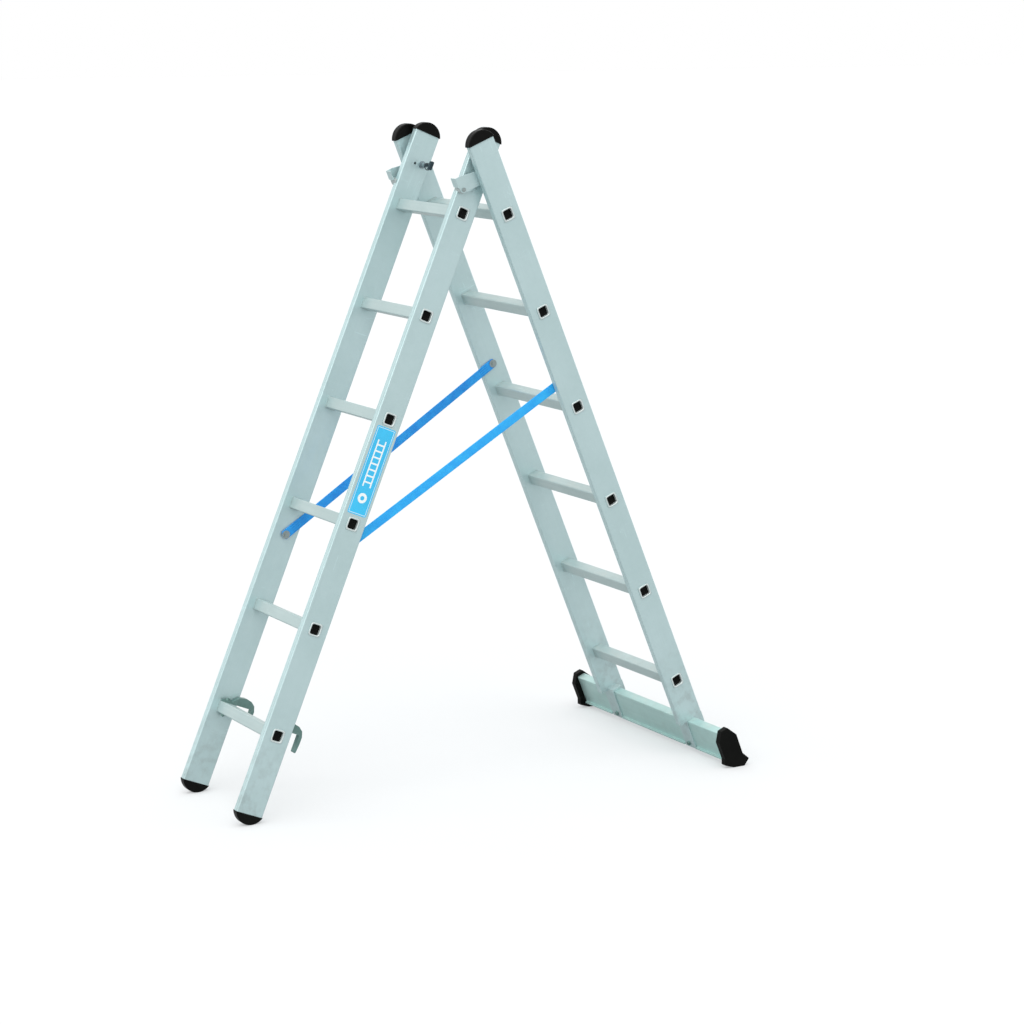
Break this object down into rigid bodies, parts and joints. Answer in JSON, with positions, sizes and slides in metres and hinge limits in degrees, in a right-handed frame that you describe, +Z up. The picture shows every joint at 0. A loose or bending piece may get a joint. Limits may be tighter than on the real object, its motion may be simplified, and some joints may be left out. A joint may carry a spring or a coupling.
{
  "type": "extension ladder",
  "caption": "Two-part aluminium combination ladder standing open as an A-frame, with a foot bar, catch hooks, blue straps and black end caps.",
  "frame": {"origin": "centre of the bounding box at floor level", "axes": "+Z up; +X from the feet of the upper section towards the foot bar of the base section; +Y across the rungs from the near side to the far side"},
  "size_m": [1.4238, 0.744, 1.7304],
  "materials": {
    "aluminium": "satin extruded",
    "black_plastic": "fine grained",
    "black_rubber": "matt",
    "grey_plastic": "matt",
    "blue_webbing": "woven",
    "blue_sticker": "printed film",
    "zinc_steel": "zinc plated",
    "dark_steel": "blackened"
  },
  "bodies": {
    "base_section": {"base_rung_1": "aluminium", "base_rung_2": "aluminium", "base_rung_3": "aluminium", "base_rung_4": "aluminium", "base_rung_5": "aluminium", "base_rung_6": "aluminium", "base_stile_far": "aluminium", "base_stile_near": "aluminium", "base_top_cap_far": "black_plastic", "base_top_cap_near": "black_plastic", "crossbar": "aluminium", "crossbar_bolts": "zinc_steel", "crossbar_bracket_far": "aluminium", "crossbar_bracket_near": "aluminium", "crossbar_shoe_far": "black_rubber", "crossbar_shoe_near": "black_rubber", "guide_bracket_far": "aluminium", "guide_bracket_near": "aluminium", "guide_rivets": "zinc_steel", "strap_far": "blue_webbing", "strap_near": "blue_webbing", "strap_screws_base": "zinc_steel"},
    "guide_shoes": {"guide_shoe_far": "grey_plastic", "guide_shoe_near": "grey_plastic", "pivot_pin_far": "zinc_steel", "pivot_pin_near": "zinc_steel"},
    "upper_section": {"hook_bolts": "zinc_steel", "hook_far": "zinc_steel", "hook_near": "zinc_steel", "hook_nuts": "zinc_steel", "label": "blue_sticker", "pin_bush_far": "dark_steel", "pin_bush_near": "dark_steel", "strap_screws_upper": "zinc_steel", "upper_foot_cap_far": "black_plastic", "upper_foot_cap_near": "black_plastic", "upper_rung_1": "aluminium", "upper_rung_2": "aluminium", "upper_rung_3": "aluminium", "upper_rung_4": "aluminium", "upper_rung_5": "aluminium", "upper_rung_6": "aluminium", "upper_stile_far": "aluminium", "upper_stile_near": "aluminium", "upper_top_cap_far": "black_plastic", "upper_top_cap_near": "black_plastic"},
    "pull_pin_near_set": {"pull_pin_near": "dark_steel", "pull_ring_near": "dark_steel"},
    "pull_pin_far_set": {"pull_pin_far": "dark_steel", "pull_ring_far": "dark_steel"}
  },
  "joints": [
    {"name": "fold", "type": "hinge", "parent": "base_section", "child": "guide_shoes", "pos_m": [-0.06606, 0, 1.57255], "axis": [0, -1, 0], "range_deg": [0, 45], "deforming": ["strap_near", "strap_far"]},
    {"name": "extend", "type": "slide", "parent": "guide_shoes", "child": "upper_section", "axis": [0.3827, 0, 0.9239], "range_m": [0, 1.072], "deforming": ["strap_near", "strap_far"]},
    {"name": "pull_near", "type": "slide", "parent": "upper_section", "child": "pull_pin_near_set", "axis": [0, 1, 0], "range_m": [0, 0.012], "stiffness_N_per_m": 800, "springref_m": -0.004},
    {"name": "pull_far", "type": "slide", "parent": "upper_section", "child": "pull_pin_far_set", "axis": [0, -1, 0], "range_m": [0, 0.012], "stiffness_N_per_m": 800, "springref_m": -0.004}
  ]
}
